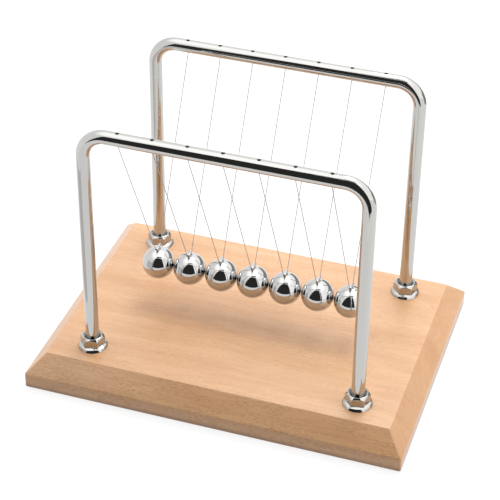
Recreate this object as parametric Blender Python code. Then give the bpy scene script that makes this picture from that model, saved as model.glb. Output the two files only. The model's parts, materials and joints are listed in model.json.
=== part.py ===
"""Newton's cradle: seven steel balls in a row, each hung on a V of thin line between
two chromed rod frames that stand on a bevelled wooden board.

Units are metres and +Z is up.  +X runs along the row of balls, and -Y is the front.
The origin is on the surface the cradle stands on, under the middle of the board.
Pieces that touch on the real object keep CLEARANCE between them.
"""
import math

import bmesh
import bpy
from mathutils import Matrix, Vector

# Driving dimensions
CLEARANCE = 0.0003

BALL_COUNT = 7
BALL_DIAMETER = 0.020
BALL_PITCH = BALL_DIAMETER + CLEARANCE
BALL_HEIGHT = 0.0473            # ball centre above the board's underside

ROD_DIAMETER = 0.008            # M8 rod
FRAME_SPAN = 0.164              # between the two legs of one frame, along X
FRAME_SPACING = 0.113           # between the front and the rear frame, along Y
FRAME_HEIGHT = 0.172            # top of the rail above the board's underside
FRAME_BEND = 0.014              # bend radius of the rod's centreline
ROD_END_CHAMFER = 0.0008

BOARD_LENGTH = 0.231
BOARD_WIDTH = 0.1675
BOARD_THICKNESS = 0.020
BOARD_EDGE = 0.0092             # height of the upright edge below the bevel
BEVEL_END = 0.0102              # inset of the bevel at the two short ends
BEVEL_SIDE = 0.0114             # inset of the bevel at the two long sides
COUNTERBORE_DIAMETER = 0.019
COUNTERBORE_DEPTH = 0.0098
LEG_HOLE_DIAMETER = 0.009

NUT_ACROSS_FLATS = 0.013        # M8
NUT_CORNER = NUT_ACROSS_FLATS / 2 / math.cos(math.pi / 6)
NUT_BORE_DIAMETER = ROD_DIAMETER + 2 * CLEARANCE
NUT_CHAMFER = 0.0008            # its width on the nut's top, at the middle of a flat
NUT_CHAMFER_SLOPE = math.radians(40)
NUT_TURN = math.radians(13)     # from one flat facing the front, as the nuts are tightened
FLANGE_DIAMETER = 0.0179
FLANGE_RIM = 0.0012             # height of the flange's upright rim
FLANGE_NUT_HEIGHT = 0.008
HEX_NUT_HEIGHT = 0.0065
WASHER_DIAMETER = 0.016
WASHER_THICKNESS = 0.0016

FOOT_DIAMETER = 0.014
FOOT_STEP = 0.0015              # the board's underside above the surface it stands on
FOOT_INSET = 0.0145             # foot centre in from the board's ends and sides

HANGER_LENGTH = 0.006
HANGER_DIAMETER = 0.002
HANGER_BORE = 0.0012
LINE_DIAMETER = 0.0004
LINE_BEND = 0.001               # bend radius of the line at the hanger's mouths
LINE_START = 0.001              # the swinging line starts this far below its pivot

KNOT_DIAMETER = 0.0017
KNOT_SEAT_DIAMETER = KNOT_DIAMETER + 2 * CLEARANCE
KNOT_SEAT_DEPTH = 0.002
KNOT_PROUD = 0.0003             # how far the knot stands above the rail
LINE_HOLE_DIAMETER = 0.0012

# Places that follow from them
BOARD_BOTTOM = FOOT_STEP
BOARD_TOP = BOARD_BOTTOM + BOARD_THICKNESS
RAIL_TOP = BOARD_BOTTOM + FRAME_HEIGHT
RAIL_AXIS = RAIL_TOP - ROD_DIAMETER / 2
PIVOT_HEIGHT = RAIL_TOP - ROD_DIAMETER
BALL_CENTRE = BOARD_BOTTOM + BALL_HEIGHT
HANGER_AXIS = BALL_CENTRE + BALL_DIAMETER / 2 + CLEARANCE + HANGER_DIAMETER / 2
COUNTERBORE_FLOOR = BOARD_BOTTOM + COUNTERBORE_DEPTH
WASHER_BOTTOM = COUNTERBORE_FLOOR - CLEARANCE - WASHER_THICKNESS
HEX_NUT_BOTTOM = WASHER_BOTTOM - CLEARANCE - HEX_NUT_HEIGHT
ROD_END = HEX_NUT_BOTTOM - CLEARANCE
FRONT_AND_REAR = {"front": -1, "rear": 1}
CORNERS = {
    "front_left": (-1, -1),
    "front_right": (1, -1),
    "rear_right": (1, 1),
    "rear_left": (-1, 1),
}

# Fineness of the round shapes
ROD_SIDES = 20
BEND_STEPS = 7
NUT_SIDES = 18
BALL_SEGMENTS = 24
BALL_RINGS = 12
HANGER_SIDES = 12
LINE_SIDES = 6
LINE_BEND_STEPS = 4
KNOT_SIDES = 8
SHARP_ANGLE = math.radians(30)


def remove_all_objects():
    for obj in list(bpy.data.objects):
        bpy.data.objects.remove(obj, do_unlink=True)


def make_material(name, colour, roughness, metallic):
    material = bpy.data.materials.new(name)
    material.use_nodes = True
    shader = material.node_tree.nodes["Principled BSDF"]
    shader.inputs["Base Color"].default_value = (*colour, 1.0)
    shader.inputs["Roughness"].default_value = roughness
    shader.inputs["Metallic"].default_value = metallic
    material.diffuse_color = (*colour, 1.0)
    return material


def mesh_from(bm, name):
    """Close the bmesh off as a mesh with its faces pointing out and its edges marked."""
    bmesh.ops.remove_doubles(bm, verts=bm.verts, dist=1e-6)
    bmesh.ops.recalc_face_normals(bm, faces=bm.faces)
    mesh = bpy.data.meshes.new(name)
    bm.to_mesh(mesh)
    bm.free()
    mesh.shade_smooth()
    mesh.set_sharp_from_angle(angle=SHARP_ANGLE)
    return mesh


def place(name, mesh, material, location=(0, 0, 0), parent=None):
    """Add an object; its location is given in world axes, also under a parent empty."""
    obj = bpy.data.objects.new(name, mesh)
    bpy.context.scene.collection.objects.link(obj)
    if not mesh.materials:
        mesh.materials.append(material)
    obj.location = Vector(location)
    if parent is not None:
        obj.parent = parent
        obj.location -= parent.location
    return obj


def turned(profile, sides, axis="Z"):
    """Spin a profile of (radius, height) points about Z, or about Y, into a solid."""
    bm = bmesh.new()
    points = [bm.verts.new((radius, 0, height)) for radius, height in profile]
    edges = [bm.edges.new(pair) for pair in zip(points, points[1:])]
    if profile[0][0] > 0 or profile[-1][0] > 0:
        edges.append(bm.edges.new((points[-1], points[0])))
    bmesh.ops.spin(bm, geom=points + edges, cent=(0, 0, 0), axis=(0, 0, 1),
                   angle=2 * math.pi, steps=sides, use_merge=True)
    bmesh.ops.remove_doubles(bm, verts=bm.verts, dist=1e-6)
    if axis == "Y":
        bmesh.ops.rotate(bm, verts=bm.verts, matrix=Matrix.Rotation(math.pi / 2, 3, "X"))
    return bm


def swept(path, radii, side, sides):
    """Sweep a circle along a flat path; side is the normal of the plane it lies in."""
    bm = bmesh.new()
    path = [Vector(point) for point in path]
    side = Vector(side)
    rings = []
    for index, (point, radius) in enumerate(zip(path, radii)):
        before = path[max(index - 1, 0)]
        after = path[min(index + 1, len(path) - 1)]
        up = (after - before).normalized().cross(side)
        turns = [2 * math.pi * step / sides for step in range(sides)]
        rings.append([bm.verts.new(point + radius * (math.cos(turn) * side + math.sin(turn) * up))
                      for turn in turns])
    for ring, following in zip(rings, rings[1:]):
        for step in range(sides):
            after = (step + 1) % sides
            bm.faces.new((ring[step], ring[after], following[after], following[step]))
    bm.faces.new(rings[0])
    bm.faces.new(rings[-1])
    return bm


def combined(name, base, operations):
    """Apply Boolean operations, a list of (operation, mesh), to a mesh."""
    body = bpy.data.objects.new(name, base)
    bpy.context.scene.collection.objects.link(body)
    tools = []
    for operation, mesh in operations:
        tool = bpy.data.objects.new(name + "_tool", mesh)
        bpy.context.scene.collection.objects.link(tool)
        tools.append(tool)
        modifier = body.modifiers.new(operation.lower(), "BOOLEAN")
        modifier.operation = operation
        modifier.solver = "EXACT"
        modifier.object = tool
    evaluated = body.evaluated_get(bpy.context.evaluated_depsgraph_get())
    bm = bmesh.new()
    bm.from_mesh(evaluated.to_mesh())
    evaluated.to_mesh_clear()
    for obj in [body] + tools:
        bpy.data.objects.remove(obj, do_unlink=True)
    bmesh.ops.dissolve_degenerate(bm, edges=bm.edges, dist=1e-7)
    bmesh.ops.triangulate(bm, faces=bm.faces)
    return mesh_from(bm, name)


def arc(centre, radius, start, end, steps):
    """Points (u, z) on an arc from angle start to angle end."""
    angles = [start + (end - start) * step / steps for step in range(steps + 1)]
    return [(centre[0] + radius * math.cos(angle), centre[1] + radius * math.sin(angle))
            for angle in angles]


# Base board

def board_mesh():
    half_length = BOARD_LENGTH / 2
    half_width = BOARD_WIDTH / 2
    sections = [
        (half_length, half_width, BOARD_BOTTOM),
        (half_length, half_width, BOARD_BOTTOM + BOARD_EDGE),
        (half_length - BEVEL_END, half_width - BEVEL_SIDE, BOARD_TOP),
    ]
    bm = bmesh.new()
    loops = []
    for x, y, z in sections:
        corners = [bm.verts.new((sx * x, sy * y, z)) for sx, sy in CORNERS.values()]
        loops.append([bm.edges.new((corners[i], corners[(i + 1) % 4])) for i in range(4)])
    for lower, upper in zip(loops, loops[1:]):
        bmesh.ops.bridge_loops(bm, edges=lower + upper)
    for loop in (loops[0], loops[-1]):
        bmesh.ops.contextual_create(bm, geom=loop)
    return mesh_from(bm, "board_blank")


def leg_hole_mesh():
    """Stepped cutter at the origin: a counterbore from below and a hole for the rod."""
    below = BOARD_BOTTOM - 0.001
    above = BOARD_TOP + 0.001
    profile = [
        (0, below),
        (COUNTERBORE_DIAMETER / 2, below),
        (COUNTERBORE_DIAMETER / 2, COUNTERBORE_FLOOR),
        (LEG_HOLE_DIAMETER / 2, COUNTERBORE_FLOOR),
        (LEG_HOLE_DIAMETER / 2, above),
        (0, above),
    ]
    return turned(profile, NUT_SIDES)


def build_board(wood):
    cuts = []
    for sx, sy in CORNERS.values():
        cutter = leg_hole_mesh()
        bmesh.ops.translate(cutter, verts=cutter.verts,
                            vec=(sx * FRAME_SPAN / 2, sy * FRAME_SPACING / 2, 0))
        cuts.append(("DIFFERENCE", mesh_from(cutter, "leg_hole")))
    place("base_board", combined("base_board", board_mesh(), cuts), wood)


# Frames

def frame_path():
    """The rod's centreline as (x, z) points, from the left leg's end to the right's."""
    leg = FRAME_SPAN / 2
    bend_x = leg - FRAME_BEND
    bend_z = RAIL_AXIS - FRAME_BEND
    left_bend = arc((-bend_x, bend_z), FRAME_BEND, math.pi, math.pi / 2, BEND_STEPS)
    right_bend = arc((bend_x, bend_z), FRAME_BEND, math.pi / 2, 0, BEND_STEPS)
    ends = [ROD_END, ROD_END + ROD_END_CHAMFER]
    return ([(-leg, z) for z in ends] + left_bend + right_bend
            + [(leg, z) for z in reversed(ends)])


def line_hole_mesh(x, y):
    """Cutter for one line: a fine hole through the rail with a seat for the knot."""
    seat = RAIL_TOP - KNOT_SEAT_DEPTH
    below = PIVOT_HEIGHT - 0.001
    above = RAIL_TOP + 0.001
    profile = [
        (0, below),
        (LINE_HOLE_DIAMETER / 2, below),
        (LINE_HOLE_DIAMETER / 2, seat),
        (KNOT_SEAT_DIAMETER / 2, seat),
        (KNOT_SEAT_DIAMETER / 2, above),
        (0, above),
    ]
    bm = turned(profile, KNOT_SIDES)
    bmesh.ops.translate(bm, verts=bm.verts, vec=(x, y, 0))
    return mesh_from(bm, "line_hole")


def build_frame(name, y, chrome):
    path = [(x, y, z) for x, z in frame_path()]
    radius = ROD_DIAMETER / 2
    tip = radius - ROD_END_CHAMFER
    radii = [tip] + [radius] * (len(path) - 2) + [tip]
    rod = mesh_from(swept(path, radii, (0, 1, 0), ROD_SIDES), "rod_blank")
    cuts = [("DIFFERENCE", line_hole_mesh(x, y)) for x in ball_places()]
    place(name, combined(name, rod, cuts), chrome)


# Fasteners

def hexagon(height):
    """Six-sided prism about Z, turned with one flat nearly facing the front."""
    bm = bmesh.new()
    bmesh.ops.create_cone(bm, segments=6, radius1=NUT_CORNER, radius2=NUT_CORNER,
                          depth=height, cap_ends=True)
    bmesh.ops.rotate(bm, verts=bm.verts, matrix=Matrix.Rotation(math.pi / 6 + NUT_TURN, 3, "Z"))
    return mesh_from(bm, "hexagon")


def crown(bottom, top, cut_below):
    """Disc with chamfered rims, which rounds off a hexagon's corners."""
    inner = NUT_ACROSS_FLATS / 2 - NUT_CHAMFER
    outer = NUT_CORNER + CLEARANCE
    drop = (outer - inner) * math.tan(NUT_CHAMFER_SLOPE)
    lower_rim = [(inner, bottom), (outer, bottom + drop)] if cut_below else [(outer, bottom)]
    profile = [(0, bottom)] + lower_rim + [(outer, top - drop), (inner, top), (0, top)]
    return mesh_from(turned(profile, NUT_SIDES), "crown")


def nut_bore(height):
    """Cutter: the nut's bore with a countersink at both ends."""
    radius = NUT_BORE_DIAMETER / 2
    mouth = radius + NUT_CHAMFER
    over = 0.0005
    profile = [
        (0, -over),
        (mouth + over, -over),
        (radius, NUT_CHAMFER),
        (radius, height - NUT_CHAMFER),
        (mouth + over, height + over),
        (0, height + over),
    ]
    return mesh_from(turned(profile, NUT_SIDES), "nut_bore")


def flange_mesh():
    """The flange: an upright rim and a shallow cone that runs up to the hexagon."""
    rim = FLANGE_DIAMETER / 2
    neck = NUT_ACROSS_FLATS / 2 - NUT_CHAMFER
    cone_top = FLANGE_RIM + (rim - neck) * math.tan(math.radians(25))
    profile = [(0, 0), (rim, 0), (rim, FLANGE_RIM), (neck, cone_top), (0, cone_top)]
    return mesh_from(turned(profile, NUT_SIDES), "flange")


def flange_nut_mesh():
    return combined("flange_nut", hexagon(3 * FLANGE_NUT_HEIGHT), [
        ("INTERSECT", crown(FLANGE_RIM / 2, FLANGE_NUT_HEIGHT, False)),
        ("UNION", flange_mesh()),
        ("DIFFERENCE", nut_bore(FLANGE_NUT_HEIGHT)),
    ])


def hex_nut_mesh():
    return combined("hex_nut", hexagon(3 * HEX_NUT_HEIGHT), [
        ("INTERSECT", crown(0, HEX_NUT_HEIGHT, True)),
        ("DIFFERENCE", nut_bore(HEX_NUT_HEIGHT)),
    ])


def ring_mesh(name, inner, outer, height, sides):
    profile = [(inner, 0), (outer, 0), (outer, height), (inner, height)]
    return mesh_from(turned(profile, sides), name)


def build_fasteners(steel):
    pieces = {
        "flange_nut": (flange_nut_mesh(), BOARD_TOP + CLEARANCE),
        "washer": (ring_mesh("washer", NUT_BORE_DIAMETER / 2, WASHER_DIAMETER / 2,
                             WASHER_THICKNESS, NUT_SIDES), WASHER_BOTTOM),
        "hex_nut": (hex_nut_mesh(), HEX_NUT_BOTTOM),
    }
    for kind, (mesh, height) in pieces.items():
        for corner, (sx, sy) in CORNERS.items():
            place(f"{kind}_{corner}", mesh, steel,
                  (sx * FRAME_SPAN / 2, sy * FRAME_SPACING / 2, height))


# Feet

def build_feet(rubber):
    radius = FOOT_DIAMETER / 2
    top = FOOT_STEP - CLEARANCE
    profile = [(0, 0), (radius, 0), (radius, top), (0, top)]
    mesh = mesh_from(turned(profile, NUT_SIDES), "foot")
    for corner, (sx, sy) in CORNERS.items():
        place(f"foot_{corner}", mesh, rubber,
              (sx * (BOARD_LENGTH / 2 - FOOT_INSET), sy * (BOARD_WIDTH / 2 - FOOT_INSET), 0))


# Balls, hangers and lines

def ball_places():
    middle = (BALL_COUNT - 1) / 2
    return [(index - middle) * BALL_PITCH for index in range(BALL_COUNT)]


def ball_mesh():
    bm = bmesh.new()
    bmesh.ops.create_uvsphere(bm, u_segments=BALL_SEGMENTS, v_segments=BALL_RINGS,
                              radius=BALL_DIAMETER / 2)
    return mesh_from(bm, "ball")


def hanger_mesh():
    half = HANGER_LENGTH / 2
    inner = HANGER_BORE / 2
    outer = HANGER_DIAMETER / 2
    profile = [(inner, -half), (outer, -half), (outer, half), (inner, half)]
    return mesh_from(turned(profile, HANGER_SIDES, axis="Y"), "hanger")


def line_side():
    """Half of a line as (outward, z) points: out of the hanger, round, up to the rail."""
    mouth = (HANGER_LENGTH / 2, HANGER_AXIS + LINE_BEND)
    pivot = (FRAME_SPACING / 2, PIVOT_HEIGHT)
    reach = math.dist(mouth, pivot)
    bearing = math.atan2(pivot[1] - mouth[1], pivot[0] - mouth[0])
    leave = bearing - math.acos(LINE_BEND / reach)
    bend = arc(mouth, LINE_BEND, -math.pi / 2, leave, LINE_BEND_STEPS)
    last = bend[-1]
    length = math.dist(last, pivot)
    share = (length - LINE_START) / length
    end = tuple(a + (b - a) * share for a, b in zip(last, pivot))
    return bend + [end]


def line_mesh():
    half = line_side()
    path = [(0, -out, z - PIVOT_HEIGHT) for out, z in reversed(half)]
    path += [(0, out, z - PIVOT_HEIGHT) for out, z in half]
    radii = [LINE_DIAMETER / 2] * len(path)
    return mesh_from(swept(path, radii, (1, 0, 0), LINE_SIDES), "line")


def knot_mesh():
    """The line's end: a stub up through the rail and a domed knot in its seat."""
    stub = LINE_DIAMETER / 2
    radius = KNOT_DIAMETER / 2
    low = PIVOT_HEIGHT + CLEARANCE
    shoulder = RAIL_TOP - KNOT_SEAT_DEPTH + CLEARANCE
    crown = RAIL_TOP + KNOT_PROUD
    profile = [
        (0, low),
        (stub, low),
        (stub, shoulder),
        (radius, shoulder),
        (radius, RAIL_TOP),
        (radius * 0.6, crown),
        (0, crown),
    ]
    return mesh_from(turned(profile, KNOT_SIDES), "line_knot")


def build_pendulums(steel, nylon):
    """Each ball hangs in a body of its own, whose origin is on the axis it swings about."""
    ball, hanger, line = ball_mesh(), hanger_mesh(), line_mesh()
    for number, x in enumerate(ball_places(), start=1):
        pivot = bpy.data.objects.new(f"pivot_{number}", None)
        bpy.context.scene.collection.objects.link(pivot)
        pivot.location = (x, 0, PIVOT_HEIGHT)
        place(f"ball_{number}", ball, steel, (x, 0, BALL_CENTRE), pivot)
        place(f"hanger_{number}", hanger, steel, (x, 0, HANGER_AXIS), pivot)
        place(f"line_{number}", line, nylon, (x, 0, PIVOT_HEIGHT), pivot)


def build_knots(black):
    knot = knot_mesh()
    for row, side in FRONT_AND_REAR.items():
        for number, x in enumerate(ball_places(), start=1):
            place(f"line_knot_{row}_{number}", knot, black, (x, side * FRAME_SPACING / 2, 0))


def main():
    remove_all_objects()
    wood = make_material("beech", (0.84, 0.55, 0.36), 0.45, 0.0)
    chrome = make_material("chrome", (0.86, 0.86, 0.85), 0.06, 1.0)
    steel = make_material("polished_steel", (0.90, 0.90, 0.90), 0.03, 1.0)
    nylon = make_material("nylon_line", (0.55, 0.50, 0.46), 0.40, 0.0)
    black = make_material("black_knot", (0.02, 0.02, 0.02), 0.50, 0.0)
    rubber = make_material("rubber", (0.03, 0.03, 0.03), 0.80, 0.0)
    build_board(wood)
    for row, side in FRONT_AND_REAR.items():
        build_frame(f"{row}_frame", side * FRAME_SPACING / 2, chrome)
    build_fasteners(chrome)
    build_feet(rubber)
    build_pendulums(steel, nylon)
    build_knots(black)
    bpy.context.view_layer.update()


main()
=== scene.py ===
"""Looks of the newton's cradle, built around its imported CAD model.

Metres, +Z up, +X along the row of balls, -Y is the front, as in the CAD model.
Every shape is lofted from rings of points at places that the CAD nodes' boxes give.
"""
import json
import math

import bmesh
import bpy
from mathutils import Matrix, Vector


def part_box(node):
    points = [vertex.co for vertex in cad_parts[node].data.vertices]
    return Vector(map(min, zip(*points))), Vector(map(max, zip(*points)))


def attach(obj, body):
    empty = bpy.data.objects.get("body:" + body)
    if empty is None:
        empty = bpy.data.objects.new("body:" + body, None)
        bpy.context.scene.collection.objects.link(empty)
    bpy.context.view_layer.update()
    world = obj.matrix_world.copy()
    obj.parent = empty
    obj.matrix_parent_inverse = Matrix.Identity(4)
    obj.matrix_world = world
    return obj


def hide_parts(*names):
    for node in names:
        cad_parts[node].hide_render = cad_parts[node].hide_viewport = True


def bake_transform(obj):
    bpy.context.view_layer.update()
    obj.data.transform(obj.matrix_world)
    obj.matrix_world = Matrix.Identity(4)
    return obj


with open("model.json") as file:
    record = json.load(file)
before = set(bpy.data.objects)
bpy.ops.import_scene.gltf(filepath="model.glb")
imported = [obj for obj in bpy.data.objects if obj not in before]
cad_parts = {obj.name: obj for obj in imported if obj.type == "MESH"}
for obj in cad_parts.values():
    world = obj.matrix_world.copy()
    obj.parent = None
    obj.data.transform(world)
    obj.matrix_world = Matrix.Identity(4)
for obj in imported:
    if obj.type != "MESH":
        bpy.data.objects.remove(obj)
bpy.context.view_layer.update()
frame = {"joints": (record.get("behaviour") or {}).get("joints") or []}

# Sizes that the CAD boxes don't give: the board
BEVEL_END = 0.0102              # the bevel's inset at the ends
BEVEL_SIDE = 0.0114             # and at the sides
BOARD_EDGE = 0.0092             # height of the upright edge below the bevel
BOARD_ROUND = 0.0005            # rounding where the board's faces meet
BOARD_CORNER = 0.0012           # rounding of its upright corners
BOARD_SHARPEST = 0.0003         # least rounding, and the chamfer of its counterbores
COUNTERBORE_DIAMETER = 0.019
COUNTERBORE_DEPTH = 0.0098
LEG_HOLE_DIAMETER = 0.009

# The rods
FRAME_BEND = 0.014              # bend radius of the rod's centreline
ROD_END_INSET = 0.0009          # chamfer at the rod's end
ROD_END_HEIGHT = 0.0006
THREAD_LENGTH = 0.010
THREAD_START = 0.0009           # first turn above the rod's end
THREAD_RUN_OUT = 0.002          # the thread's length without turns
THREAD_PITCH = 0.00125
THREAD_DEPTH = 0.00045
THREAD_CREST = 0.00002          # the crests stay inside the plain rod by this much
LINE_HOLE_DIAMETER = 0.0012
KNOT_SEAT_DEPTH = 0.002
KNOT_GAP = 0.0003               # round and below each knot in its seat

# The nuts, washers and feet
NUT_ACROSS_FLATS = 0.013
NUT_CORNER_ROUND = 0.00025
NUT_TOP_RADIUS = 0.0057         # the flat ring on top, inside the chamfer
NUT_CHAMFER_SLOPE = math.radians(40)
NUT_TURN = math.radians(13)     # from one flat facing the front
NUT_LEAD_IN = 0.0013            # width and depth of the cone that leads into the bore
NUT_BASE_LEAD_IN = 0.0006       # and of the one below
NUT_THREAD_GAP = 0.0002         # between a nut's or washer's bore and the rod
FLANGE_RIM = 0.0012
FLANGE_SLOPE = math.radians(25)
FLANGE_TAPER = 0.00045          # the rim leans in by this much towards its top
WASHER_SOFT = 0.0002            # rounding of the washer's rims
FOOT_SOFT = 0.0004              # and of the foot's lower rim
FOOT_DRAFT = 0.0002             # the foot is slimmer by this much at the board

# The hangers and lines
HANGER_BORE = 0.0012
HANGER_SOFT = 0.00012           # rounding of the tube's rims
LINE_DIAMETER = 0.0004
LINE_BEND = 0.001               # bend radius of the line at the hanger's mouths
LINE_CORNER = 0.0012            # length of the curve where the line enters the rail

TOUCH = 0.00003                 # gap between pieces that rest on each other
TOOL_REACH = 0.001              # a cutting tool passes the surface by this much

# The photograph's view
CAMERA_AZIMUTH = math.radians(17.79)
CAMERA_ELEVATION = math.radians(35.33)
CAMERA_ROLL = math.radians(0.79)
CAMERA_DISTANCE = 1.00596
CAMERA_LENS = 120.83
CAMERA_TARGET = Vector((-0.00359, 0.00413, 0.06856))

# The light tent round the object: brightness of its cloth and of the floor
TENT_LEFT = 1.12
TENT_RIGHT = 1.48
TENT_ROOF = 1.85
TENT_BELOW = 0.45               # light that the pale floor sends up, as a share of the tent's
FLOOR_GLOW = 0.84
FLOOR_TONE = 0.2
FLOOR_RADIUS = 60.0

# Its panels: how bright, how far left and right, and how low and high; the left edge of one
# leans to the right by lean at the top
TENT_PANELS = {
    "tent_opening": {
        "tone": 0.035, "across": (-0.46, 0.18), "heights": (0.013, 0.68), "lean": 0.2,
        "azimuth": CAMERA_AZIMUTH, "distance": 0.29,
    },
    "tent_bar": {
        "tone": 0.03, "across": (-0.22, 0.30), "heights": (0.76, 1.1),
        "azimuth": CAMERA_AZIMUTH, "distance": 0.29,
    },
    "tent_clip": {
        "tone": 0.74, "across": (-0.08, 0.018), "heights": (0, 0.10),
        "azimuth": math.radians(-48), "distance": 0.175, "only_reflected": True,
    },
    "tent_back": {
        "tone": 0.35, "across": (-0.4, 0.4), "heights": (0.0, 0.26),
        "azimuth": math.radians(143), "distance": 0.5, "only_reflected": True,
    },
}

# Linear colours of the wood
BEECH_DEEP = (0.61, 0.33, 0.16, 1)
BEECH_PALE = (0.75, 0.465, 0.26, 1)
BEECH_RING = (0.52, 0.265, 0.12, 1)
BEECH_FIBRE = (0.50, 0.25, 0.108, 1)
BEECH_FLECK = (0.34, 0.145, 0.05, 1)
BEECH_END_GRAIN = (0.50, 0.235, 0.095, 1)
# Painted shade along the bottom of the board's edges
BEECH_PAINTED_SHADE = (0.20, 0.085, 0.035, 1)
BEECH_PAINTED_SHADE_HEIGHT = 0.0035      # painted shade: the wood is darkened this far up from the underside

BALL_COUNT = 7
ROWS = ("front", "rear")
CORNERS = ("front_left", "front_right", "rear_right", "rear_left")
STAND = "stand"


def middle(node):
    low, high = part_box(node)
    return (low + high) / 2


def pivot(number):
    """The point about which a ball swings, level with its line's exits from the rails."""
    joint = next(joint for joint in frame["joints"] if joint["name"] == f"ball_{number}_swing")
    return Vector(joint["pos_m"])


# Camera

def direction(azimuth, elevation):
    """Unit vector from the object towards azimuth, counted from -Y towards +X."""
    return Vector((math.sin(azimuth) * math.cos(elevation),
                   -math.cos(azimuth) * math.cos(elevation),
                   math.sin(elevation)))


def add_camera():
    camera = bpy.data.objects.new("camera", bpy.data.cameras.new("camera"))
    bpy.context.scene.collection.objects.link(camera)
    back = direction(CAMERA_AZIMUTH, CAMERA_ELEVATION)
    right = Vector((0, 0, 1)).cross(back).normalized()
    up = back.cross(right)
    across = math.cos(CAMERA_ROLL) * right + math.sin(CAMERA_ROLL) * up
    upward = math.cos(CAMERA_ROLL) * up - math.sin(CAMERA_ROLL) * right
    turn = Matrix((across, upward, back)).transposed().to_4x4()
    camera.matrix_world = Matrix.Translation(CAMERA_TARGET + back * CAMERA_DISTANCE) @ turn
    camera.data.lens = CAMERA_LENS
    camera.data.clip_start = 0.01
    bpy.context.scene.camera = camera


# Mesh tools

def loft(name, rings, ring_of_rings=False):
    """Skin rings of points with quads, and cap the ends or join the last ring to the first."""
    bm = bmesh.new()
    loops = [[bm.verts.new(point) for point in ring] for ring in rings]
    pairs = list(zip(loops, loops[1:]))
    if ring_of_rings:
        pairs.append((loops[-1], loops[0]))
    for lower, upper in pairs:
        for index in range(len(lower)):
            after = (index + 1) % len(lower)
            bm.faces.new((lower[index], lower[after], upper[after], upper[index]))
    if not ring_of_rings:
        bm.faces.new(loops[0])
        bm.faces.new(loops[-1])
    return finished(bm, name)


def finished(bm, name, sharp=32):
    """Turn a bmesh into a smooth mesh whose edges over sharp degrees stay crisp."""
    bmesh.ops.remove_doubles(bm, verts=bm.verts, dist=1e-7)
    bmesh.ops.recalc_face_normals(bm, faces=bm.faces)
    mesh = bpy.data.meshes.new(name)
    bm.to_mesh(mesh)
    bm.free()
    mesh.shade_smooth()
    mesh.set_sharp_from_angle(angle=math.radians(sharp))
    return mesh


def turned_rings(profile, sides, centre=(0, 0, 0), axis="Z"):
    """Rings of a profile of (radius, height) points spun about Z, or about Y."""
    rings = []
    for radius, height in profile:
        ring = []
        for step in range(sides):
            angle = 2 * math.pi * step / sides
            u, v = radius * math.cos(angle), radius * math.sin(angle)
            point = (u, v, height) if axis == "Z" else (u, height, v)
            ring.append(Vector(centre) + Vector(point))
        rings.append(ring)
    return rings


def swept_rings(path, radii, side, sides):
    """Rings round a flat path; side is the normal of the plane that it lies in."""
    side = Vector(side)
    rings = []
    for index, radius in enumerate(radii):
        before = path[max(index - 1, 0)]
        after = path[min(index + 1, len(path) - 1)]
        up = (after - before).normalized().cross(side)
        turns = [2 * math.pi * step / sides for step in range(sides)]
        rings.append([path[index] + radius * (math.cos(turn) * side + math.sin(turn) * up)
                      for turn in turns])
    return rings


def arc(centre, radius, start, end, steps):
    angles = [start + (end - start) * step / steps for step in range(steps + 1)]
    return [(centre[0] + radius * math.cos(angle), centre[1] + radius * math.sin(angle))
            for angle in angles]


def cut(name, base, tools):
    """The mesh that is left of base when the meshes in tools are taken from it."""
    body = bpy.data.objects.new(name, base)
    bpy.context.scene.collection.objects.link(body)
    cutters = []
    for mesh in tools:
        cutter = bpy.data.objects.new(name + "_cutter", mesh)
        bpy.context.scene.collection.objects.link(cutter)
        cutters.append(cutter)
        modifier = body.modifiers.new("cut", "BOOLEAN")
        modifier.operation = "DIFFERENCE"
        modifier.solver = "EXACT"
        modifier.object = cutter
    evaluated = body.evaluated_get(bpy.context.evaluated_depsgraph_get())
    bm = bmesh.new()
    bm.from_mesh(evaluated.to_mesh())
    evaluated.to_mesh_clear()
    for obj in [body] + cutters:
        bpy.data.objects.remove(obj, do_unlink=True)
    return finished(bm, name)


def add_piece(name, mesh, material, body, replaced, location=(0, 0, 0)):
    """Put a mesh in the scene as a piece that rides on a body and stands for a CAD node."""
    piece = bpy.data.objects.new(name, mesh)
    bpy.context.scene.collection.objects.link(piece)
    if not mesh.materials:
        mesh.materials.append(material)
    piece.location = Vector(location)
    if replaced:
        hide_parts(replaced)
    if body:
        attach(piece, body)
    return piece


# Materials

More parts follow.
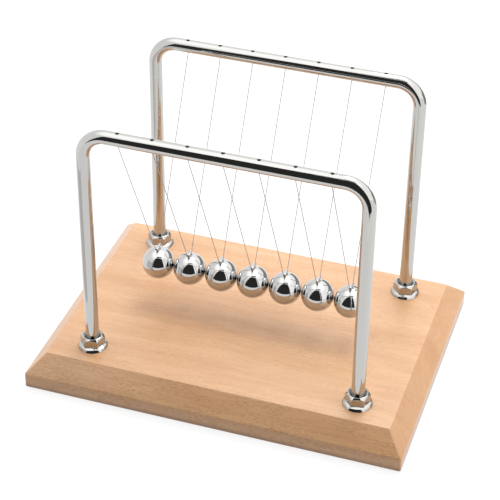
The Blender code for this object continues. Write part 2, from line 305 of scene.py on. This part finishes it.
class Shading:
    """A material's node tree, with short calls to add nodes to it."""

    def __init__(self, name, **sockets):
        self.material = bpy.data.materials.new(name)
        self.material.use_nodes = True
        self.tree = self.material.node_tree
        self.shader = self.tree.nodes["Principled BSDF"]
        self.coordinates = self.tree.nodes.new("ShaderNodeTexCoord")
        for socket, value in sockets.items():
            self.set(socket.replace("_", " ").title().replace("Ior", "IOR"), value)

    def set(self, socket, value):
        if isinstance(value, bpy.types.NodeSocket):
            self.tree.links.new(value, self.shader.inputs[socket])
        elif isinstance(value, tuple):
            self.shader.inputs[socket].default_value = (*value, 1.0)
        else:
            self.shader.inputs[socket].default_value = value

    def add(self, kind, inputs, output=0, **settings):
        node = self.tree.nodes.new("ShaderNode" + kind)
        for key, value in settings.items():
            setattr(node, key, value)
        for socket, value in inputs.items():
            if isinstance(value, bpy.types.NodeSocket):
                self.tree.links.new(value, node.inputs[socket])
            else:
                node.inputs[socket].default_value = value
        return node.outputs[output]

    def place(self, scale, offset=(0, 0, 0)):
        """The surface's own coordinates, counted from offset and scaled along each axis."""
        moved = self.add("VectorMath", {0: self.coordinates.outputs["Object"], 1: offset},
                         operation="SUBTRACT")
        return self.add("VectorMath", {0: moved, 1: scale}, operation="MULTIPLY")

    def part(self, kind, axis):
        """One axis of the surface's own coordinates ("Object") or of its normal ("Normal")."""
        return self.add("SeparateXYZ", {0: self.coordinates.outputs[kind]}, output=axis)

    def noise(self, scale, detail=3, roughness=0.5, offset=(0, 0, 0)):
        return self.add("TexNoise", {"Vector": self.place(scale, offset), "Scale": 1.0,
                                     "Detail": detail, "Roughness": roughness})

    def map(self, value, low, high, to_low=0.0, to_high=1.0):
        return self.add("MapRange", {0: value, 1: low, 2: high, 3: to_low, 4: to_high})

    def math(self, operation, first, second=0.0):
        return self.add("Math", {0: first, 1: second}, operation=operation)

    def mix(self, factor, first, second):
        return self.add("MixRGB", {0: factor, 1: first, 2: second})

    def bump(self, height, distance, strength):
        self.set("Normal", self.add("Bump", {"Height": height, "Distance": distance,
                                             "Strength": strength}))


def wood_material():
    """Lacquered beech: soft bands, fine fibres and short dark flecks, all along X, and painted
    shade along the bottom of its edges.
    """
    wood = Shading("beech", specular_ior_level=0.5, coat_roughness=0.28)
    bands = wood.noise((9, 55, 55), detail=4, roughness=0.55)
    warp = wood.noise((14, 60, 60), detail=2, offset=(0.3, 0.1, 0.2))
    from_pith = wood.place((0, 1, 1), offset=(0, 0.018, -0.075))
    radius = wood.add("VectorMath", {0: from_pith}, output=1, operation="LENGTH")
    wave = 1500.0                       # radians per metre out from the pith
    waviness = 9.0                      # radians by which the warp moves the rings
    phase = wood.math("ADD", wood.math("MULTIPLY", radius, wave),
                      wood.math("MULTIPLY", warp, waviness))
    rings = wood.map(wood.math("SINE", phase), -1.0, 1.0)
    fibres = wood.noise((60, 1300, 1300), detail=3, roughness=0.6)
    cells = wood.add("TexVoronoi", {"Vector": wood.place((300, 2800, 2800)), "Scale": 1.0,
                                    "Randomness": 1.0}, output=0)
    patches = wood.map(wood.noise((40, 260, 260), detail=2, offset=(1, 2, 3)), 0.30, 0.58)
    flecks = wood.math("MULTIPLY", wood.map(cells, 0.12, 0.46, 1.0, 0.0), patches)
    end = wood.math("ABSOLUTE", wood.part("Normal", 0))
    side = wood.math("ABSOLUTE", wood.part("Normal", 1))
    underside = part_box("base_board")[0].z
    # painted shade: darkens the wood towards its underside
    foot = wood.map(wood.part("Object", 2), underside, underside + BEECH_PAINTED_SHADE_HEIGHT, 0.85, 0.0)
    fleck_depth = wood.map(side, 0.2, 0.6, 0.55, 0.95)
    end_depth = wood.math("MULTIPLY", wood.map(end, 0.35, 0.95), 0.45)

    colour = wood.mix(wood.map(bands, 0.32, 0.68), BEECH_DEEP, BEECH_PALE)
    colour = wood.mix(wood.math("MULTIPLY", rings, 0.16), colour, BEECH_RING)
    colour = wood.mix(wood.map(fibres, 0.36, 0.70, 0.0, 0.42), colour, BEECH_FIBRE)
    colour = wood.mix(wood.math("MULTIPLY", flecks, fleck_depth), colour, BEECH_FLECK)
    colour = wood.mix(end_depth, colour, BEECH_END_GRAIN)
    colour = wood.mix(foot, colour, BEECH_PAINTED_SHADE)
    wood.set("Base Color", colour)
    wood.set("Coat Weight", wood.map(side, 0.2, 0.8, 0.6, 0.3))
    wood.set("Roughness", wood.map(fibres, 0.3, 0.7, 0.36, 0.46))
    relief = wood.math("SUBTRACT", wood.math("MULTIPLY", fibres, 0.35), flecks)
    wood.bump(relief, 0.00003, 0.5)
    return wood.material


def metal_material(name, colour, gloss, smears, scale):
    """Polished metal; gloss is its least roughness, to which smears and hairlines add."""
    metal = Shading(name, base_color=colour, metallic=1.0)
    smear = metal.noise((scale, scale, scale), detail=4, roughness=0.6)
    hairlines = metal.noise((scale * 2, scale * 40, scale * 2), detail=2)
    metal.set("Roughness", metal.math("ADD",
                                      metal.map(smear, 0.4, 0.75, gloss, gloss + smears),
                                      metal.map(hairlines, 0.6, 0.8, 0.0, smears * 0.5)))
    metal.bump(smear, 0.000002, 0.15)
    return metal.material


def nut_material():
    """Bright plated steel with the turning marks of its flange and top face."""
    mark_pitch = 0.00018
    nut = Shading("plated_nut", base_color=(0.50, 0.49, 0.47), metallic=1.0)
    radial = nut.add("VectorMath", {0: nut.place((1, 1, 0))}, output=1, operation="LENGTH")
    marks = nut.math("SINE", nut.math("MULTIPLY", radial, 2 * math.pi / mark_pitch))
    pits = nut.noise((900, 900, 900), detail=3)
    nut.set("Roughness", nut.map(pits, 0.3, 0.7, 0.03, 0.09))
    nut.bump(nut.math("ADD", nut.math("MULTIPLY", marks, 0.3), pits), 0.000002, 0.3)
    return nut.material


def zinc_material():
    """Zinc plate, clouded between bluish and yellowish."""
    zinc = Shading("zinc_plate", metallic=1.0)
    cloud = zinc.noise((260, 260, 260), detail=4, roughness=0.65)
    zinc.set("Base Color", zinc.mix(cloud, (0.50, 0.53, 0.58, 1), (0.70, 0.70, 0.66, 1)))
    zinc.set("Roughness", zinc.map(cloud, 0.3, 0.7, 0.22, 0.36))
    zinc.bump(cloud, 0.00001, 0.3)
    return zinc.material


def nylon_material():
    """Drawn nylon line: smooth, slightly clear, with faint changes along its length."""
    nylon = Shading("nylon", roughness=0.3, ior=1.53, transmission_weight=0.35)
    streaks = nylon.noise((900, 120, 120), detail=2)
    nylon.set("Base Color", nylon.mix(streaks, (0.44, 0.41, 0.39, 1), (0.58, 0.55, 0.53, 1)))
    nylon.bump(streaks, 0.000005, 0.4)
    return nylon.material


def dark_material(name, tone, roughness, grain, depth):
    """Black rubber or plastic with a fine grain."""
    dark = Shading(name, specular_ior_level=0.4)
    speckle = dark.noise((grain, grain, grain), detail=4, roughness=0.65)
    light = (tone * 1.8, tone * 1.8, tone * 1.8, 1)
    dark.set("Base Color", dark.mix(speckle, (tone, tone, tone, 1), light))
    dark.set("Roughness", dark.map(speckle, 0.3, 0.7, roughness - 0.08, roughness + 0.08))
    dark.bump(speckle, depth, 0.6)
    return dark.material


# Board

def rounded_rectangle(half_x, half_y, z, corner, steps=4):
    ring = []
    for quarter, (sx, sy) in enumerate(((1, 1), (-1, 1), (-1, -1), (1, -1))):
        centre = (sx * (half_x - corner), sy * (half_y - corner))
        start = quarter * math.pi / 2
        ring += [(x, y, z) for x, y in arc(centre, corner, start, start + math.pi / 2, steps)]
    return ring


def board_section():
    """The board's side as (share of the bevel inset, extra inset, z) from below to the top."""
    low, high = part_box("base_board")
    knee = low.z + BOARD_EDGE
    soft = BOARD_ROUND
    share = soft / (high.z - knee)
    bow_in, bow_out = 0.12, 0.15        # the middle point of each rounded arris
    section = [(0, soft * (1 - math.sin(turn)), low.z + soft * (1 - math.cos(turn)))
               for turn in (0, math.pi / 6, math.pi / 3, math.pi / 2)]
    section += [(0, 0, knee - soft), (share * bow_in, 0, knee - soft * bow_out)]
    section += [(share, 0, knee + soft), (1 - share, 0, high.z - soft)]
    section += [(1 - share * bow_in, 0, high.z - soft * bow_out), (1 + share, 0, high.z)]
    return section


def board_mesh():
    low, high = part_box("base_board")
    rings = []
    for share, inset, z in board_section():
        half_x = high.x - inset - share * BEVEL_END
        half_y = high.y - inset - share * BEVEL_SIDE
        corner = max(BOARD_CORNER - inset, BOARD_SHARPEST)
        rings.append(rounded_rectangle(half_x, half_y, z, corner))
    floor = low.z + COUNTERBORE_DEPTH
    wide, narrow = COUNTERBORE_DIAMETER / 2, LEG_HOLE_DIAMETER / 2
    profile = [(wide + BOARD_SHARPEST + TOOL_REACH, low.z - TOOL_REACH),
               (wide, low.z + BOARD_SHARPEST), (wide, floor), (narrow, floor),
               (narrow, high.z + TOOL_REACH)]
    tools = []
    for corner in CORNERS:
        centre = middle("flange_nut_" + corner)
        tools.append(loft("leg_hole", turned_rings(profile, 64, (centre.x, centre.y, 0))))
    return cut("board", loft("board_blank", rings), tools)


# Rod frames

def threaded_end(bottom, radius):
    """(z, radius) from the rod's end over its thread, which is cut as rings."""
    root = radius - THREAD_DEPTH
    crest = radius - THREAD_CREST
    turn_shape = ((0, root), (0.08, root), (0.48, crest), (0.58, crest))
    outline = [(bottom, radius - ROD_END_INSET), (bottom + ROD_END_HEIGHT, root)]
    for turn in range(int((THREAD_LENGTH - THREAD_RUN_OUT) / THREAD_PITCH)):
        start = bottom + THREAD_START + turn * THREAD_PITCH
        outline += [(start + THREAD_PITCH * share, edge) for share, edge in turn_shape]
    top = bottom + THREAD_LENGTH
    shoulder = [(top, root), (top + 0.0004, radius), (top + 0.001, radius)]
    return outline + shoulder


def rod_stations(node):
    """(x, z, radius) along the rod, from the foot of the left leg to the right's."""
    low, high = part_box(node)
    radius = (high.y - low.y) / 2
    leg = high.x - radius
    rail = high.z - radius
    bend_x, bend_z = leg - FRAME_BEND, rail - FRAME_BEND
    hold = 0.0005       # a ring this far before and after a bend keeps the straights straight
    left = [(-leg, z, edge) for z, edge in threaded_end(low.z, radius)]
    left.append((-leg, bend_z - hold, radius))
    left += [(x, z, radius) for x, z in
             arc((-bend_x, bend_z), FRAME_BEND, math.pi, math.pi / 2, steps=28)]
    left.append((hold - bend_x, rail, radius))
    right = [(-x, z, edge) for x, z, edge in reversed(left)]
    beside_holes = []                   # rings that keep each hole's facets short
    for number in range(1, BALL_COUNT + 1):
        x = middle(f"ball_{number}").x
        beside_holes += [(x + shift, rail, radius) for shift in (-0.0016, -0.0008, 0.0008, 0.0016)]
    return left + beside_holes + right


def line_hole_tool(x, y, top, bottom):
    """What the drill takes from a rail: a hole for the line and a wider seat for its knot."""
    seat = top - KNOT_SEAT_DEPTH
    low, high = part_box("line_knot_front_1")
    wide = (high.x - low.x) / 2 + KNOT_GAP
    narrow = LINE_HOLE_DIAMETER / 2
    profile = [(narrow, bottom - TOOL_REACH), (narrow, seat), (wide, seat),
               (wide, top + TOOL_REACH)]
    return loft("line_hole", turned_rings(profile, 40, (x, y, 0)))


def add_frames(chrome):
    for row in ROWS:
        node = row + "_frame"
        low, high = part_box(node)
        y = (low.y + high.y) / 2
        stations = rod_stations(node)
        path = [Vector((x, y, z)) for x, z, radius in stations]
        radii = [radius for x, z, radius in stations]
        rod = loft("rod_blank", swept_rings(path, radii, (0, 1, 0), 96))
        bottom = high.z - (high.y - low.y)
        tools = [line_hole_tool(middle(f"ball_{number}").x, y, high.z, bottom)
                 for number in range(1, BALL_COUNT + 1)]
        add_piece(row + "_rod", cut(row + "_rod", rod, tools), chrome, STAND, node)


# Nuts and washers

def hexagon_angles(apothem, rounding):
    """Angles round the nut, close together at its six corners."""
    edge = math.atan((apothem - rounding) / apothem * math.tan(math.pi / 6))
    angles = []
    for side in range(6):
        centre = NUT_TURN + math.radians(30 + 60 * side)
        angles += [centre + edge * step / 5 for step in range(-5, 6)]
        left_over = math.pi / 6 - edge
        angles += [centre + edge + left_over * share for share in (0.5, 1.0, 1.5)]
    return angles


def hexagon_radius(angle, apothem, rounding):
    """Distance from the nut's axis to its side, which has rounded corners."""
    off_flat = abs((angle - NUT_TURN) % (math.pi / 3) - math.pi / 6)
    if apothem * math.tan(off_flat) <= (apothem - rounding) * math.tan(math.pi / 6):
        return apothem / math.cos(off_flat)
    reach = (apothem - rounding) / math.cos(math.pi / 6)
    off_corner = math.pi / 6 - off_flat
    aside = reach * math.sin(off_corner)
    return reach * math.cos(off_corner) + math.sqrt(rounding ** 2 - aside ** 2)


def chamfer_height(radius, height):
    return height - max(radius - NUT_TOP_RADIUS, 0) * math.tan(NUT_CHAMFER_SLOPE)


def nut_top(side, bore, height):
    """(radius, z) points from the hexagon's side over the chamfer and down into the bore."""
    soft = 0.00006
    edge = chamfer_height(side, height)
    return [
        (side, edge - soft * 4),
        (side, edge - soft * 2),
        (side - soft * 0.3, edge - soft * 0.6),
        (side - soft * 1.5, chamfer_height(side - soft * 1.5, height)),
        (side - soft * 3, chamfer_height(side - soft * 3, height)),
        (NUT_TOP_RADIUS + soft * 4, chamfer_height(NUT_TOP_RADIUS + soft * 4, height)),
        (NUT_TOP_RADIUS + soft * 2, chamfer_height(NUT_TOP_RADIUS + soft * 2, height)),
        (NUT_TOP_RADIUS - soft, height),
        (NUT_TOP_RADIUS - soft * 2, height),
        (bore + NUT_LEAD_IN + soft / 6, height),
        (bore + NUT_LEAD_IN - soft * 5 / 6, height),
        (bore + NUT_LEAD_IN - soft * 2, height - soft),
        (bore, height - NUT_LEAD_IN),
    ]


def upright_column(angle, profile):
    """The profile's (radius, z) points in the half plane at angle."""
    return [(radius * math.cos(angle), radius * math.sin(angle), z) for radius, z in profile]


def flange_nut_rings(bore, rim, height):
    """Rings up the nut: bearing face, rim, sloping flange, hexagon, chamfer and bore."""
    apothem = NUT_ACROSS_FLATS / 2
    lip = rim - FLANGE_TAPER
    soft = 0.0002

    def cone(radius):
        return FLANGE_RIM + (rim - radius) * math.tan(FLANGE_SLOPE)

    columns = []
    for angle in hexagon_angles(apothem, NUT_CORNER_ROUND):
        side = hexagon_radius(angle, apothem, NUT_CORNER_ROUND)
        points = [(bore, NUT_BASE_LEAD_IN), (bore + NUT_BASE_LEAD_IN, 0), (rim - soft, 0)]
        points += [(rim - 0.3 * soft, 0.3 * soft), (rim, soft), (rim - 0.1 * soft, 1.3 * soft)]
        points += [(lip + 0.1 * soft, FLANGE_RIM - 0.6 * soft), (lip, FLANGE_RIM - 0.3 * soft)]
        points += [(lip - 0.5 * soft, FLANGE_RIM + 0.3 * soft)]
        points += [(lip - reach * soft, cone(lip - reach * soft)) for reach in (2, 2.6)]
        points += [(side + reach * soft, cone(side + reach * soft)) for reach in (1.6, 1)]
        points += [(side + 0.3 * soft, cone(side) + 0.35 * soft)]
        points += [(side, cone(side) + reach * soft) for reach in (1.2, 1.8)]
        points += nut_top(side, bore, height)
        columns.append(upright_column(angle, points))
    return list(zip(*columns))


def hex_nut_rings(bore, height):
    """Rings of a plain nut, whose underside is its top turned over."""
    apothem = NUT_ACROSS_FLATS / 2
    columns = []
    for angle in hexagon_angles(apothem, NUT_CORNER_ROUND):
        side = hexagon_radius(angle, apothem, NUT_CORNER_ROUND)
        upper = nut_top(side, bore, height)
        lower = [(radius, height - z) for radius, z in reversed(upper)]
        columns.append(upright_column(angle, lower + upper))
    return list(zip(*columns))


def ring_profile(inner, outer, height, soft):
    """Profile of a flat ring whose four rims are rounded."""
    half = math.pi / 2
    profile = arc((inner + soft, soft), soft, -half, -2 * half, 3)
    profile += arc((inner + soft, height - soft), soft, 2 * half, half, 3)
    profile += arc((outer - soft, height - soft), soft, half, 0, 3)
    profile += arc((outer - soft, soft), soft, 0, -half, 3)
    return profile


def add_fasteners(plated, zinc):
    low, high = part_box("flange_nut_front_left")
    rim, height = (high.x - low.x) / 2, high.z - low.z
    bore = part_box("front_frame")[1].y - middle("front_frame").y + NUT_THREAD_GAP
    flange_nut = loft("collar_nut", flange_nut_rings(bore, rim, height), ring_of_rings=True)
    low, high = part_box("hex_nut_front_left")
    lower_nut = loft("lower_nut", hex_nut_rings(bore, high.z - low.z), ring_of_rings=True)
    low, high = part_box("washer_front_left")
    profile = ring_profile(bore, (high.x - low.x) / 2, high.z - low.z, WASHER_SOFT)
    washer = loft("plain_washer", turned_rings(profile, 72), ring_of_rings=True)
    kinds = [
        ("collar_nut", flange_nut, plated, "flange_nut", "nut_chrome"),
        ("lower_nut", lower_nut, zinc, "hex_nut", "zinc_steel"),
        ("plain_washer", washer, zinc, "washer", "zinc_steel"),
    ]
    board_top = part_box("base_board")[1].z
    for name, mesh, material, node, slot in kinds:
        for corner in CORNERS:
            low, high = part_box(f"{node}_{corner}")
            place = Vector(((low.x + high.x) / 2, (low.y + high.y) / 2, low.z))
            if node == "flange_nut":
                place.z = board_top + TOUCH
            add_piece(f"{name}_{corner}", mesh, material, STAND, f"{node}_{corner}", place)


# Feet

def add_feet(rubber):
    low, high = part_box("foot_front_left")
    radius = (high.x - low.x) / 2
    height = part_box("base_board")[0].z - TOUCH
    soft = FOOT_SOFT
    profile = [(radius - soft * 1.5, 0)] + arc((radius - soft, soft), soft, -math.pi / 2, 0, 5)
    profile += [(radius - FOOT_DRAFT, height)]
    mesh = loft("rubber_foot", turned_rings(profile, 64))
    for corner in CORNERS:
        centre = middle("foot_" + corner)
        add_piece("rubber_foot_" + corner, mesh, rubber, STAND, "foot_" + corner,
                  (centre.x, centre.y, 0))


# Balls, hangers, lines and knots

def ball_mesh(radius):
    bm = bmesh.new()
    bmesh.ops.create_uvsphere(bm, u_segments=96, v_segments=48, radius=radius)
    return finished(bm, "steel_ball", sharp=60)


def hanger_mesh(length, outer):
    """A tube along Y round its own middle."""
    half = length / 2
    profile = ring_profile(HANGER_BORE / 2, outer, length, HANGER_SOFT)
    profile = [(radius, height - half) for radius, height in profile]
    return loft("cross_tube", turned_rings(profile, 40, axis="Y"), ring_of_rings=True)


def braze_mesh(ball_radius, tube_axis, tube_radius, length):
    """Fillet of braze from just inside the ball's top into the tube's belly.

    Its origin is the ball's centre. It is an oval that is widest on the ball.
    """
    stations, sides = 7, 48
    sunk = 0.00004                      # into the ball, so that no gap shows
    belly_share = 0.9                   # how far down the tube's radius the fillet ends
    rings = []
    for index in range(stations):
        share = index / (stations - 1)
        flare = (1 - share) ** 2
        half_x = tube_radius * (0.55 + 0.75 * flare)
        half_y = length * (0.36 + 0.07 * flare)
        ring = []
        for step in range(sides):
            angle = 2 * math.pi * step / sides
            x, y = half_x * math.cos(angle), half_y * math.sin(angle)
            sphere = math.sqrt(ball_radius ** 2 - x * x - y * y) - sunk
            belly = tube_axis - math.sqrt(max(tube_radius ** 2 - x * x, 0)) * belly_share
            ring.append((x, y, sphere + (belly - sphere) * share))
        rings.append(ring)
    return loft("braze", rings)


def line_path(number):
    """Centreline of one line: knot, rail, hanger, rail, knot, as points in the row frame."""
    x = middle(f"ball_{number}").x
    half_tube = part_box(f"hanger_{number}")[1].y
    axis = middle(f"hanger_{number}").z
    rail = (middle("rear_frame").y, pivot(number).z)
    mouth = (half_tube, axis + LINE_BEND)
    leave = bearing(mouth, rail) - math.acos(LINE_BEND / math.dist(mouth, rail))
    bend = arc(mouth, LINE_BEND, -math.pi / 2, leave, 10)
    lean = bearing(bend[-1], rail)
    side = [(share * half_tube, axis) for share in (0, 0.35, 0.7)] + bend
    run_end = (rail[0] - LINE_CORNER * math.cos(lean), rail[1] - LINE_CORNER * math.sin(lean))
    steps = 24
    side += [tuple(a + (b - a) * step / steps for a, b in zip(bend[-1], run_end))
             for step in range(1, steps + 1)]
    side += bezier(run_end, rail, (rail[0], rail[1] + LINE_CORNER), 10)
    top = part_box("front_frame")[1].z - KNOT_SEAT_DEPTH + KNOT_GAP
    side += [(rail[0], z) for z in (rail[1] + LINE_CORNER + 0.001, top)]
    front = [Vector((x, -out, z)) for out, z in reversed(side)]
    return front + [Vector((x, out, z)) for out, z in side[1:]]


def bearing(start, end):
    return math.atan2(end[1] - start[1], end[0] - start[0])


def bezier(start, control, end, steps):
    """Points of a quadratic curve, without its start."""
    points = []
    for step in range(1, steps + 1):
        share = step / steps
        points.append(tuple((1 - share) ** 2 * a + 2 * share * (1 - share) * b + share ** 2 * c
                            for a, b, c in zip(start, control, end)))
    return points


def add_line(number, nylon):
    """One line, swept from knot to knot through its hanger as a single piece."""
    path = line_path(number)
    radii = [LINE_DIAMETER / 2] * len(path)
    mesh = loft(f"nylon_line_{number}", swept_rings(path, radii, (1, 0, 0), 12))
    line = add_piece(f"nylon_line_{number}", mesh, nylon, None, f"line_{number}")
    exit_point = pivot(number)
    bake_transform(line)
    exit_point.y = middle("front_frame").y


def add_pendulums(mirror, tube_metal, braze_metal, nylon):
    ball_low, ball_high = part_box("ball_1")
    tube_low, tube_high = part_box("hanger_1")
    ball_radius = (ball_high.z - ball_low.z) / 2
    tube_radius = (tube_high.z - tube_low.z) / 2
    length = tube_high.y - tube_low.y
    rise = middle("hanger_1").z - middle("ball_1").z
    ball = ball_mesh(ball_radius)
    tube = hanger_mesh(length, tube_radius)
    braze = braze_mesh(ball_radius, rise, tube_radius, length)
    for number in range(1, BALL_COUNT + 1):
        body = f"pendulum_{number}"
        centre = middle(f"ball_{number}")
        add_piece(f"steel_ball_{number}", ball, mirror, body, f"ball_{number}",
                  centre)
        add_piece(f"cross_tube_{number}", tube, tube_metal, body, f"hanger_{number}",
                  middle(f"hanger_{number}"))
        add_piece(f"braze_{number}", braze, braze_metal, body, None, centre)
        add_line(number, nylon)


def knot_mesh():
    """A domed stopper knot: rounded lobes round a low crown, from its seat upwards."""
    low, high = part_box("line_knot_front_1")
    radius = (high.x - low.x) / 2
    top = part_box("front_frame")[1].z
    bottom = top - KNOT_SEAT_DEPTH + KNOT_GAP
    profile = [(radius * 0.5, bottom), (radius * 0.93, bottom + 0.0003),
               (radius * 0.97, top - 0.0006), (radius * 0.96, top - 0.0002),
               (radius * 0.84, top + 0.00008), (radius * 0.55, top + 0.00024),
               (radius * 0.25, high.z)]
    sides, lobes, lobe_height = 36, 3, 0.03
    rings = []
    for ring in turned_rings(profile, sides):
        lobed = []
        for step, point in enumerate(ring):
            swell = 1 + lobe_height * math.sin(lobes * 2 * math.pi * step / sides)
            lobed.append((point.x * swell, point.y * swell, point.z))
        rings.append(lobed)
    return loft("end_knot", rings)


def add_knots(black):
    knot = knot_mesh()
    for row in ROWS:
        for number in range(1, BALL_COUNT + 1):
            node = f"line_knot_{row}_{number}"
            centre = middle(node)
            add_piece(f"end_knot_{row}_{number}", knot, black, STAND, node,
                      (centre.x, centre.y, 0))


# Studio

def stage_material(name, tone, glow):
    """A matt grey of the given tone that also glows white, as lit cloth or paper does."""
    material = bpy.data.materials.new(name)
    material.use_nodes = True
    shader = material.node_tree.nodes["Principled BSDF"]
    shader.inputs["Base Color"].default_value = (tone, tone, tone, 1)
    shader.inputs["Roughness"].default_value = 1.0
    shader.inputs["Specular IOR Level"].default_value = 0.0
    shader.inputs["Emission Color"].default_value = (1, 1, 1, 1)
    shader.inputs["Emission Strength"].default_value = glow
    return material


def add_stage(name, mesh, material):
    mesh.materials.append(material)
    piece = bpy.data.objects.new(name, mesh)
    bpy.context.scene.collection.objects.link(piece)
    return piece


def add_floor():
    bm = bmesh.new()
    bmesh.ops.create_circle(bm, cap_ends=True, radius=FLOOR_RADIUS, segments=96)
    mesh = bpy.data.meshes.new("floor")
    bm.to_mesh(mesh)
    bm.free()
    floor = add_stage("floor", mesh, stage_material("floor_white", FLOOR_TONE, FLOOR_GLOW))
    floor.visible_diffuse = False


def add_panel(name, tone, across, heights, azimuth, distance, lean=0, only_reflected=False):
    """A panel of the tent, upright at a distance from the object in the azimuth's direction."""
    back = direction(azimuth, 0)
    side = Vector((0, 0, 1)).cross(back)
    bm = bmesh.new()
    corners = [back * distance + side * step + Vector((0, 0, z))
               for step, z in ((across[0], heights[0]), (across[1], heights[0]),
                               (across[1], heights[1]), (across[0] + lean, heights[1]))]
    bm.faces.new([bm.verts.new(corner) for corner in corners])
    mesh = bpy.data.meshes.new(name)
    bm.to_mesh(mesh)
    bm.free()
    panel = add_stage(name, mesh, stage_material(name, 0, tone))
    panel.visible_camera = False
    panel.visible_diffuse = not only_reflected
    panel.visible_shadow = not only_reflected


def add_light(name, place, size, energy):
    """A round lamp that points at the object."""
    data = bpy.data.lights.new(name, "AREA")
    data.shape = "DISK"
    data.size = size
    data.energy = energy
    light = bpy.data.objects.new(name, data)
    bpy.context.scene.collection.objects.link(light)
    light.location = place
    light.rotation_euler = (-Vector(place)).to_track_quat("-Z", "Y").to_euler()


def add_world():
    """The cloth of the light tent: white, brightest overhead, a little grey on the left.

    Its brightness depends on the direction that it is seen in, a unit vector's X and Z.
    """
    world = bpy.data.worlds.new("tent")
    bpy.context.scene.world = world
    world.use_nodes = True
    tree = world.node_tree

    def ramp(source, low, high, to_low, to_high):
        node = tree.nodes.new("ShaderNodeMapRange")
        node.interpolation_type = "SMOOTHSTEP"
        for index, value in enumerate((low, high, to_low, to_high), start=1):
            node.inputs[index].default_value = value
        tree.links.new(source, node.inputs[0])
        return node.outputs[0]

    background = tree.nodes["Background"]
    coordinates = tree.nodes.new("ShaderNodeTexCoord")
    parts = tree.nodes.new("ShaderNodeSeparateXYZ")
    tree.links.new(coordinates.outputs["Generated"], parts.inputs[0])
    across = ramp(parts.outputs["X"], -0.45, 0.1, TENT_LEFT, TENT_RIGHT)
    overhead = ramp(parts.outputs["Z"], 0.6, 0.95, 0.0, 1.0)
    mix = tree.nodes.new("ShaderNodeMix")
    tree.links.new(overhead, mix.inputs["Factor"])
    tree.links.new(across, mix.inputs["A"])
    mix.inputs["B"].default_value = TENT_ROOF
    below = ramp(parts.outputs["Z"], -0.05, 0.0, TENT_BELOW, 1.0)
    dimmed = tree.nodes.new("ShaderNodeMath")
    dimmed.operation = "MULTIPLY"
    tree.links.new(mix.outputs["Result"], dimmed.inputs[0])
    tree.links.new(below, dimmed.inputs[1])
    tree.links.new(dimmed.outputs[0], background.inputs["Strength"])
    background.inputs["Color"].default_value = (1, 1, 1, 1)


def add_studio():
    add_floor()
    add_world()
    add_light("overhead", place=(0.10, 0.42, 0.95), size=0.45, energy=3.2)
    for name, panel in TENT_PANELS.items():
        add_panel(name, **panel)
    bpy.context.scene.view_settings.view_transform = "Standard"


def main():
    add_camera()
    chrome = metal_material("chrome", (0.53, 0.525, 0.51), gloss=0.035, smears=0.04, scale=90)
    mirror = metal_material("mirror_steel", (0.55, 0.55, 0.545), gloss=0.02, smears=0.02,
                            scale=160)
    tube_metal = metal_material("tube_steel", (0.60, 0.60, 0.59), gloss=0.06, smears=0.05,
                                scale=400)
    braze_metal = metal_material("braze", (0.30, 0.29, 0.28), gloss=0.22, smears=0.15,
                                 scale=900)
    plated = nut_material()
    zinc = zinc_material()
    nylon = nylon_material()
    black = dark_material("black_knot", 0.012, roughness=0.55, grain=2500, depth=0.00002)
    rubber = dark_material("rubber", 0.022, roughness=0.75, grain=1800, depth=0.00003)
    add_piece("board", board_mesh(), wood_material(), STAND, "base_board")
    add_frames(chrome)
    add_fasteners(plated, zinc)
    add_feet(rubber)
    add_pendulums(mirror, tube_metal, braze_metal, nylon)
    add_knots(black)
    add_studio()


main()
